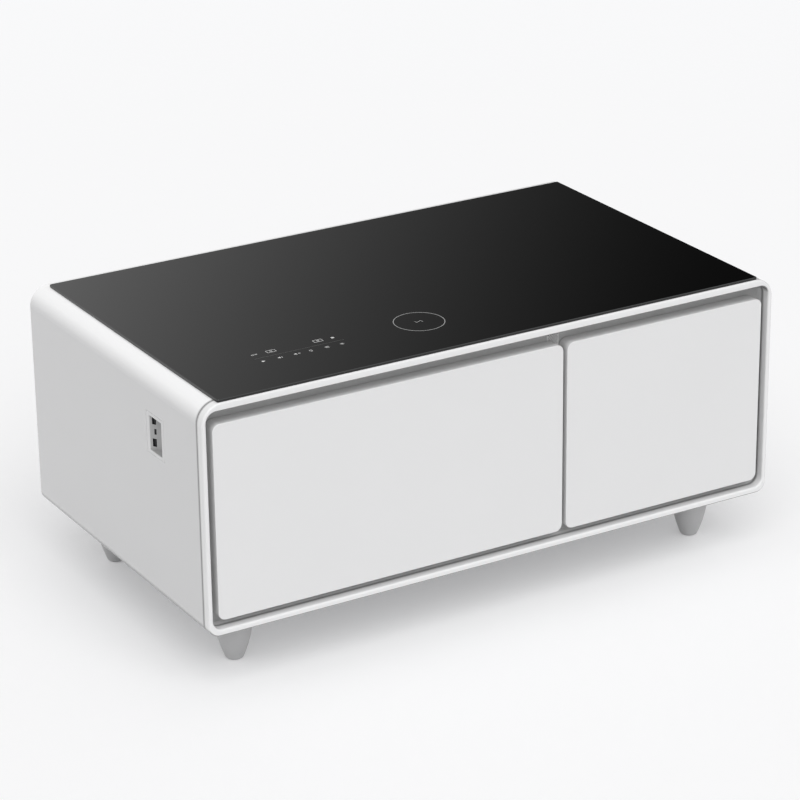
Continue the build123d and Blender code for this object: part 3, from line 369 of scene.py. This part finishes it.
def moulding(name, colour, roughness, grain=0.0006, depth=0.00002):
    """Moulded plastic with a fine spark-eroded grain and slow flow marks."""
    finish = Finish(name, colour, roughness)
    spread = 0.05 * roughness
    finish.shade(finish.noise(size=0.05), share=0.03)
    finish.scuff(finish.noise(size=0.012, detail=4.0), roughness - spread, roughness + spread)
    finish.raise_by(finish.cells(grain), depth)
    return finish


def brushed(name, colour, roughness, along):
    """Metal with fine lines along one way."""
    squeeze = 40.0
    stretch = [1.0 if axis == along else squeeze for axis in "XYZ"]
    finish = Finish(name, colour, roughness, metallic=1.0)
    lines = finish.noise(size=0.04, detail=4.0, stretch=stretch)
    finish.shade(lines, share=0.12)
    finish.scuff(lines, low=0.75 * roughness, high=1.3 * roughness)
    return finish.raise_by(lines, height=0.00001)


# Flat printed shapes on the glass
def extruded(name, outlines, height):
    """One mesh of flat shapes, each a closed outline of points, raised by height."""
    mesh = bpy.data.meshes.new(name)
    work = bmesh.new()
    for outline in outlines:
        base = [work.verts.new((x, y, glass_face)) for x, y in outline]
        face = work.faces.new(base)
        face.normal_update()
        if face.normal.z < 0.0:
            face.normal_flip()
        raised = bmesh.ops.extrude_face_region(work, geom=[face], use_keep_orig=True)
        top = [part for part in raised["geom"] if isinstance(part, bmesh.types.BMVert)]
        bmesh.ops.translate(work, verts=top, vec=(0.0, 0.0, height))
    bmesh.ops.recalc_face_normals(work, faces=work.faces)
    work.to_mesh(mesh)
    work.free()
    piece = bpy.data.objects.new(name, mesh)
    bpy.context.scene.collection.objects.link(piece)
    return piece


def stroke(start, end, width):
    """A straight line of that width with square ends."""
    start, end = Vector(start), Vector(end)
    side = (end - start).normalized().orthogonal() * width / 2
    return [start + side, start - side, end - side, end + side]


def placed(centre, points, scale):
    """Points of a shape, made that much larger and moved to its middle."""
    return [Vector((centre[0] + x * scale, centre[1] + y * scale)) for x, y in points]


def strokes(places, width):
    """Straight lines from each place to the next."""
    return [stroke(start, end, width) for start, end in zip(places, places[1:])]


def arc(centre, radius, width, start, end, steps):
    """Part of a ring as short four-sided pieces that share no edge with the next."""
    pieces = []
    for step in range(steps):
        a = start + (end - start) * step / steps
        b = start + (end - start) * (step + 1) / steps
        corners = [(a, radius), (a, radius - width), (b, radius - width), (b, radius)]
        pieces.append([
            Vector((centre[0] + cos(turn) * reach, centre[1] + sin(turn) * reach))
            for turn, reach in corners])
    return pieces


def printed_ink(name, colour):
    """Screen-printed ink that is a little uneven."""
    ink = Finish(name, colour, roughness=0.35)
    ink.shade(ink.noise(size=0.0012, detail=5.0), share=0.18)
    return ink.raise_by(ink.noise(size=0.0004), height=0.000004)


def print_on_glass(name, outlines, height, finish):
    """Puts flat shapes on the glass and lets them ride with the cabinet."""
    piece = extruded(name, outlines, height)
    piece.data.materials.append(finish.material)
    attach(piece, "cabinet")


# Operators, one for each piece or group of like pieces
class TABLE_OT_casing(bpy.types.Operator):
    """Gloss enamel on the wrap-around casing and its bezel, painted lighter on top, with painted
    shade along the joint and the lower edge
    """
    bl_idname = "table.casing"
    bl_label = "Casing"

    def execute(self, context):
        look = context.scene.table_finishes
        half_seam = 0.0004
        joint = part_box("outer_shell")[0].y - half_seam
        sides = enamel("gloss_enamel", look.enamel, look.enamel_roughness)
        # Painted light: the enamel turns into its lighter copy as the surface faces up
        sides.tint(sides.facing("Z"), look.painted_lit_enamel, start=0.05, end=0.7)
        bezel = enamel("bezel_enamel", look.bezel_enamel, look.enamel_roughness)
        # Each with how far its surface has turned down where the painted shade along its lower
        # edge is darkest
        parts = (("outer_shell", sides, -0.6), ("front_bezel", bezel, -0.7))
        for node, finish, turned in parts:
            # Painted shadow of the joint: darkest at the joint and fading out within the joint
            # reach
            from_joint = finish.away_from(finish.along("Y"), joint)
            finish.tint(from_joint, look.joint_shadow, start=look.joint_reach, end=0.0)
            # Painted shade along the lower edge, where the surface turns under
            from_shaded_edge = finish.away_from(finish.facing("Z"), turned)
            finish.tint(from_shaded_edge, look.painted_underside_shade, start=0.5, end=0.15)
            dress_node(node, finish)
        return {"FINISHED"}


class TABLE_OT_glass(bpy.types.Operator):
    """Black-backed glass with faint smudges and a ground edge"""
    bl_idname = "table.glass"
    bl_label = "Glass top"

    def execute(self, context):
        look = context.scene.table_finishes
        bevel_facing = 0.7
        glass = Finish("black_glass", look.glass, roughness=0.03)
        glass.scuff(glass.noise(size=0.09, detail=6.0), low=0.015, high=0.05)
        from_bevel = glass.away_from(glass.facing("Z"), bevel_facing)
        glass.tint(from_bevel, look.ground_edge, start=0.2, end=0.15)
        glass.raise_by(glass.noise(size=0.12, detail=1.0), height=0.00001)
        dress("glass_top", glass)
        return {"FINISHED"}


class TABLE_OT_charging_ring(bpy.types.Operator):
    """Printed ring and bolt over the wireless charger"""
    bl_idname = "table.charging_ring"
    bl_label = "Charging ring"

    def execute(self, context):
        marks = context.scene.table_marks
        ink = printed_ink("pale_ink", marks.ink)
        centre = (marks.ring_x, marks.ring_y)
        ring = arc(
            centre, marks.ring_radius, marks.ring_line, start=0.0, end=2 * pi, steps=96)
        print_on_glass("charging_ring", ring, marks.ink_height, ink)
        bolt = strokes(placed(centre, bolt_corners, millimetre), marks.ring_line)
        print_on_glass("charging_bolt", bolt, marks.ink_height, ink)
        return {"FINISHED"}


class TABLE_OT_touch_marks(bpy.types.Operator):
    """Printed icons, displays and divider over the touch controls"""
    bl_idname = "table.touch_marks"
    bl_label = "Touch marks"

    def execute(self, context):
        marks = context.scene.table_marks
        ink = printed_ink("icon_ink", marks.icon_ink)
        icons = self.icon_row(marks) + self.display_row(marks)
        print_on_glass("touch_icons", icons, marks.ink_height, ink)

        dim_ink = printed_ink("divider_ink", marks.divider_ink)
        ends = [(x, marks.divider_y) for x in divider_ends]
        divider = strokes(ends, marks.divider_line)
        print_on_glass("touch_divider", divider, marks.ink_height, dim_ink)
        return {"FINISHED"}

    def icon_row(self, marks):
        """Play, sound, louder, lamp, air and frost, from left to right."""
        half = marks.icon_size / 2
        line = marks.icon_line
        row = marks.icon_row_y
        icons = [placed((arrow_x, row), arrow, half)]
        icons.append(placed((speaker_x, row), speaker_horn, half))
        icons += arc((sound_wave_x, row), half, line, start=-0.8, end=0.8, steps=8)
        icons.append(placed((louder_x, row), speaker_horn, half))
        for bar in (plus_across, plus_upright):
            icons += strokes(placed((plus_x, row), bar, half), line)
        bulb = (lamp_x, row + 0.2 * half)
        bulb_radius = 0.8 * half
        icons += arc(bulb, bulb_radius, line, start=0.0, end=2 * pi, steps=24)
        icons += strokes(placed((lamp_x, row), lamp_base, half), line)
        for rise in air_rises:
            icons += strokes(placed((air_x, row + rise * half), air_wave, half), line)
        arms = 3
        for arm in range(arms):
            turn = arm * pi / arms
            ends = ((-cos(turn), -sin(turn)), (cos(turn), sin(turn)))
            icons += strokes(placed((frost_x, row), ends, half), line)
        return icons

    def display_row(self, marks):
        """List, two displays with one digit each, and lock."""
        half = marks.icon_size / 2
        line = marks.icon_line
        row = marks.display_row_y
        icons = []
        for shape in (list_square, list_lower_line, list_upper_line):
            icons += strokes(placed((list_x, row), shape, half), line)
        for x in display_places:
            for shape in (display_frame, display_digit):
                icons += strokes(placed((x, row), shape, half), line)
        icons.append(placed((lock_x, row), lock_body, half))
        shackle = (lock_x, row + 0.15 * half)
        shackle_radius = 0.6 * half
        icons += arc(shackle, shackle_radius, line, start=0.0, end=pi, steps=10)
        return icons


class TABLE_OT_drawer_faces(bpy.types.Operator):
    """Satin faces of the two drawers"""
    bl_idname = "table.drawer_faces"
    bl_label = "Drawer faces"

    def execute(self, context):
        look = context.scene.table_finishes
        satin = enamel("drawer_satin", look.drawer_face, look.drawer_roughness)
        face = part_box("left_drawer_front")[0].y
        # Painted shade: the fronts' edges darken from 2 mm to 12 mm behind the face, as shade in
        # the gaps round the drawers
        satin.tint(
            satin.along("Y"), look.drawer_gap_shade,
            start=face + 2 * millimetre, end=face + 12 * millimetre)
        dress("drawer_face", satin)
        return {"FINISHED"}


class TABLE_OT_front_recess(bpy.types.Operator):
    """Painted sheet behind the drawers and the speaker grille"""
    bl_idname = "table.front_recess"
    bl_label = "Front recess"

    def execute(self, context):
        look = context.scene.table_finishes
        paint = Finish("frame_paint", look.frame_paint, roughness=0.5)
        paint.shade(paint.noise(size=0.03), share=0.06)
        paint.raise_by(paint.noise(size=0.0012, detail=4.0), height=0.00002)
        dress("frame_paint", paint)
        grille = Finish("grille_metal", look.grille, roughness=0.45)
        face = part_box("speaker_grille")[0].y
        # Painted shade: the grille turns near black just behind its face, inside its holes
        grille.tint(
            grille.along("Y"), look.grille_hole_shade,
            start=face + 0.05 * millimetre, end=face + 0.15 * millimetre)
        grille.shade(grille.noise(size=0.002, detail=4.0), share=0.2)
        grille.raise_by(grille.noise(size=0.0006), height=0.00001)
        dress("grille_metal", grille)
        return {"FINISHED"}


class TABLE_OT_feet(bpy.types.Operator):
    """Moulded feet"""
    bl_idname = "table.feet"
    bl_label = "Feet"

    def execute(self, context):
        look = context.scene.table_finishes
        dress("foot_plastic", moulding("foot_moulding", look.foot, roughness=0.38))
        return {"FINISHED"}


class TABLE_OT_cold_part(bpy.types.Operator):
    """Liners, bins, gaskets, lamps and insulation"""
    bl_idname = "table.cold_part"
    bl_label = "Cold part"

    def execute(self, context):
        look = context.scene.table_finishes
        inside = context.scene.table_insides
        liner = moulding(
            "liner_moulding", look.liner, roughness=0.3, grain=0.0012, depth=0.00001)
        dress("liner_plastic", liner.set(Coat_Weight=0.2, Coat_Roughness=0.15))
        gasket = Finish("gasket_rubber", inside.gasket, roughness=0.6)
        gasket.shade(gasket.noise(size=0.01), share=0.15)
        gasket.raise_by(gasket.noise(size=0.0008, detail=4.0), height=0.00003)
        dress("gasket_rubber", gasket)
        foam = Finish("insulation_foam", inside.foam, roughness=0.9)
        foam.shade(foam.noise(size=0.04, detail=5.0), share=0.18)
        foam.raise_by(foam.cells(size=0.0022), height=0.0004)
        dress("foam", foam)
        lens = Finish("lamp_lens", inside.lamp_lens, roughness=0.35)
        ribs = lens.noise(size=0.004, detail=1.0, stretch=(1.0, 0.05, 1.0))
        lens.shade(ribs, share=0.1)
        lens.raise_by(ribs, height=0.0002)
        dress("lamp_lens", lens)
        return {"FINISHED"}


class TABLE_OT_metalwork(bpy.types.Operator):
    """Slides, screws, studs, evaporators, condenser, power supply, pipes and coil"""
    bl_idname = "table.metalwork"
    bl_label = "Metalwork"

    def execute(self, context):
        inside = context.scene.table_insides
        zinc = Finish("zinc_steel", inside.zinc, roughness=0.32, metallic=1.0)
        zinc.shade(zinc.patches(size=0.006), share=0.14, start=0.0, end=1.0)
        zinc.scuff(zinc.noise(size=0.01, detail=4.0), low=0.24, high=0.42)
        dress("zinc_steel", zinc)
        aluminium = brushed("mill_aluminium", inside.aluminium, roughness=0.36, along="X")
        dress("aluminium", aluminium)
        copper = Finish("copper_pipe", inside.copper, roughness=0.3, metallic=1.0)
        copper.tint(
            copper.noise(size=0.03, detail=6.0), inside.tarnish, start=0.45, end=0.8)
        copper.scuff(copper.noise(size=0.008, detail=4.0), low=0.22, high=0.45)
        dress("copper", copper)
        return {"FINISHED"}


class TABLE_OT_dark_parts(bpy.types.Operator):
    """Rubber, black mouldings, compressor paint and circuit boards"""
    bl_idname = "table.dark_parts"
    bl_label = "Dark parts"

    def execute(self, context):
        inside = context.scene.table_insides
        rubber = Finish("rubber", inside.rubber, roughness=0.7)
        rubber.shade(rubber.noise(size=0.006), share=0.3)
        rubber.raise_by(rubber.noise(size=0.0009, detail=4.0), height=0.00004)
        dress("rubber", rubber)
        plastic = moulding("black_moulding", inside.black_plastic, roughness=0.45)
        dress("black_plastic", plastic)
        paint = Finish("compressor_paint", inside.compressor_paint, roughness=0.28)
        paint.scuff(paint.noise(size=0.01, detail=5.0), low=0.22, high=0.38)
        paint.raise_by(paint.noise(size=0.0035), height=0.00003)
        dress("compressor_paint", paint.set(Coat_Weight=0.3, Coat_Roughness=0.1))
        board = Finish("circuit_board", inside.board, roughness=0.3)
        tracks = board.noise(size=0.004, detail=0.0, stretch=(1.0, 1.0, 6.0))
        board.tint(tracks, inside.tracks, start=0.5, end=0.53)
        board.raise_by(tracks, height=0.00002)
        dress("circuit_board", board)
        return {"FINISHED"}


class TABLE_OT_back_and_sockets(bpy.types.Operator):
    """Louvred back panel and the housing of the charging sockets"""
    bl_idname = "table.back_and_sockets"
    bl_label = "Back and sockets"

    def execute(self, context):
        look = context.scene.table_finishes
        panel = moulding(
            "panel_moulding", look.back_panel, roughness=0.4, grain=0.001, depth=0.00003)
        dress("panel_plastic", panel)
        housing = moulding(
            "socket_moulding", look.socket_housing, roughness=0.3, depth=0.00001)
        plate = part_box("usb_housing")[0].x
        # Painted shade: the housing darkens from 0.4 mm to 1.6 mm behind the plate, in the recess
        # that holds the sockets
        housing.tint(
            housing.along("X"), look.socket_recess_shade,
            start=plate + 0.4 * millimetre, end=plate + 1.6 * millimetre)
        dress("usb_plastic", housing)
        return {"FINISHED"}


class TABLE_OT_stage(bpy.types.Operator):
    """Pale floor, soft lamp, studio world and camera"""
    bl_idname = "table.stage"
    bl_label = "Stage"

    def execute(self, context):
        stage = context.scene.table_stage
        self.make_floor(stage)
        self.make_world(context.scene, stage)
        self.make_lamp(stage)
        self.make_camera(context.scene, stage)
        context.scene.view_settings.view_transform = "Standard"
        return {"FINISHED"}

    def make_floor(self, stage):
        """A round floor that fades out towards its rim."""
        mesh = bpy.data.meshes.new("studio_floor")
        work = bmesh.new()
        bmesh.ops.create_circle(work, cap_ends=True, segments=96, radius=stage.floor_radius)
        work.to_mesh(mesh)
        work.free()
        floor = bpy.data.objects.new("studio_floor", mesh)
        bpy.context.scene.collection.objects.link(floor)
        finish = Finish("floor_paint", stage.floor, roughness=0.9)
        finish.set(Specular_IOR_Level=0.0, Emission_Color=(*stage.background, 1.0))
        links = finish.tree.links
        path = finish.add("ShaderNodeLightPath")
        seen = finish.add("ShaderNodeMath", operation="MAXIMUM")
        links.new(path.outputs["Is Camera Ray"], seen.inputs[0])
        links.new(path.outputs["Is Glossy Ray"], seen.inputs[1])
        links.new(
            finish.ranged(seen.outputs[0], 0.0, 1.0, 0.0, stage.floor_glow),
            finish.shader.inputs["Emission Strength"])
        distance = finish.add("ShaderNodeVectorMath", operation="LENGTH")
        links.new(finish.place, distance.inputs[0])
        fade_start = 0.4 * stage.floor_radius
        fade_end = 0.95 * stage.floor_radius
        fade = finish.ranged(distance.outputs["Value"], fade_start, fade_end, 0.0, 1.0)
        clear = finish.add("ShaderNodeBsdfTransparent")
        mix = finish.add("ShaderNodeMixShader")
        links.new(fade, mix.inputs[0])
        links.new(finish.shader.outputs["BSDF"], mix.inputs[1])
        links.new(clear.outputs["BSDF"], mix.inputs[2])
        output = finish.tree.nodes["Material Output"]
        links.new(mix.outputs["Shader"], output.inputs["Surface"])
        floor.data.materials.append(finish.material)

    def make_world(self, scene, stage):
        """White to the camera, plain light all round, and one dark card for reflections."""
        # The card is dark inside its rim, given as a cosine, and fades to white outside it
        card_middle = (0.8517, 0.3971, 0.342)
        card_rim = 0.9
        card_grey = 0.02
        fade_power = 1.77
        fade_strength = 27.0
        world = bpy.data.worlds.new("studio")
        world.use_nodes = True
        scene.world = world
        tree = world.node_tree
        links = tree.links
        shown = tree.nodes["Background"]
        shown.inputs["Color"].default_value = (*stage.background, 1.0)
        shown.inputs["Strength"].default_value = 1.0

        def white_light():
            node = tree.nodes.new("ShaderNodeBackground")
            node.inputs["Color"].default_value = (1.0, 1.0, 1.0, 1.0)
            return node

        def maths(operation, first, second):
            node = tree.nodes.new("ShaderNodeMath")
            node.operation = operation
            links.new(first, node.inputs[0])
            node.inputs[1].default_value = second
            return node.outputs["Value"]

        ambient = white_light()
        ambient.inputs["Strength"].default_value = stage.ambient
        mirrored = white_light()
        place = tree.nodes.new("ShaderNodeTexCoord").outputs["Generated"]
        facing = tree.nodes.new("ShaderNodeVectorMath")
        facing.operation = "DOT_PRODUCT"
        facing.inputs[1].default_value = card_middle
        links.new(place, facing.inputs[0])
        away = maths("MULTIPLY", facing.outputs["Value"], -1.0)
        away = maths("ADD", away, card_rim)
        away = maths("MAXIMUM", away, 0.0)
        away = maths("POWER", away, fade_power)
        away = maths("MULTIPLY", away, fade_strength)
        away = maths("ADD", away, card_grey)
        away = maths("MINIMUM", away, 1.0)
        links.new(away, mirrored.inputs["Strength"])

        path = tree.nodes.new("ShaderNodeLightPath")
        light = tree.nodes.new("ShaderNodeMixShader")
        links.new(path.outputs["Is Glossy Ray"], light.inputs[0])
        links.new(ambient.outputs[0], light.inputs[1])
        links.new(mirrored.outputs[0], light.inputs[2])
        seen = tree.nodes.new("ShaderNodeMath")
        seen.operation = "MAXIMUM"
        links.new(path.outputs["Is Camera Ray"], seen.inputs[0])
        links.new(path.outputs["Is Transmission Ray"], seen.inputs[1])
        studio = tree.nodes.new("ShaderNodeMixShader")
        links.new(seen.outputs[0], studio.inputs[0])
        links.new(light.outputs[0], studio.inputs[1])
        links.new(shown.outputs[0], studio.inputs[2])
        links.new(studio.outputs[0], tree.nodes["World Output"].inputs["Surface"])

    def make_lamp(self, stage):
        """One wide, soft lamp high in front of the table."""
        light = bpy.data.lights.new("soft_overhead", "SUN")
        light.energy = stage.key
        light.angle = stage.key_spread
        lamp = bpy.data.objects.new("soft_overhead", light)
        toward_lamp = Vector((-0.2, -0.6, 0.77))
        lamp.rotation_euler = toward_lamp.to_track_quat("Z", "Y").to_euler()
        bpy.context.scene.collection.objects.link(lamp)

    def make_camera(self, scene, stage):
        """The camera at the photograph's viewing angle."""
        data = bpy.data.cameras.new("photo_view")
        data.sensor_width = 36.0
        data.lens = stage.camera_lens
        camera = bpy.data.objects.new("photo_view", data)
        place = Matrix.Translation((stage.camera_x, stage.camera_y, stage.camera_z))
        rows = 4
        turn = Matrix.Rotation(-stage.camera_turn, rows, "Z")
        dip = Matrix.Rotation(pi / 2 - stage.camera_dip, rows, "X")
        roll = Matrix.Rotation(stage.camera_roll, rows, "Z")
        camera.matrix_world = place @ turn @ dip @ roll
        scene.collection.objects.link(camera)
        scene.camera = camera


class TABLE_PT_panel(bpy.types.Panel):
    """Lists the table's steps and settings"""
    bl_idname = "TABLE_PT_panel"
    bl_label = "Refrigerator coffee table"
    bl_space_type = "VIEW_3D"
    bl_region_type = "UI"
    bl_category = "Table"

    def draw(self, context):
        layout = self.layout
        for step in steps:
            layout.operator(step.bl_idname)
        for name, group in settings.items():
            box = layout.box()
            for key in group.__annotations__:
                box.prop(getattr(context.scene, name), key)


settings = {
    "table_finishes": TableFinishes,
    "table_insides": TableInsides,
    "table_marks": TableMarks,
    "table_stage": TableStage,
}
steps = (
    TABLE_OT_casing,
    TABLE_OT_glass,
    TABLE_OT_charging_ring,
    TABLE_OT_touch_marks,
    TABLE_OT_drawer_faces,
    TABLE_OT_front_recess,
    TABLE_OT_feet,
    TABLE_OT_cold_part,
    TABLE_OT_metalwork,
    TABLE_OT_dark_parts,
    TABLE_OT_back_and_sockets,
    TABLE_OT_stage,
)
classes = (*settings.values(), *steps, TABLE_PT_panel)


def register():
    for kind in classes:
        bpy.utils.register_class(kind)
    for name, group in settings.items():
        setattr(bpy.types.Scene, name, PointerProperty(type=group))


def unregister():
    for name in settings:
        delattr(bpy.types.Scene, name)
    for kind in reversed(classes):
        bpy.utils.unregister_class(kind)


def main():
    register()
    bpy.ops.table.casing()
    bpy.ops.table.glass()
    bpy.ops.table.charging_ring()
    bpy.ops.table.touch_marks()
    bpy.ops.table.drawer_faces()
    bpy.ops.table.front_recess()
    bpy.ops.table.feet()
    bpy.ops.table.cold_part()
    bpy.ops.table.metalwork()
    bpy.ops.table.dark_parts()
    bpy.ops.table.back_and_sockets()
    bpy.ops.table.stage()


if __name__ == "__main__":
    main()
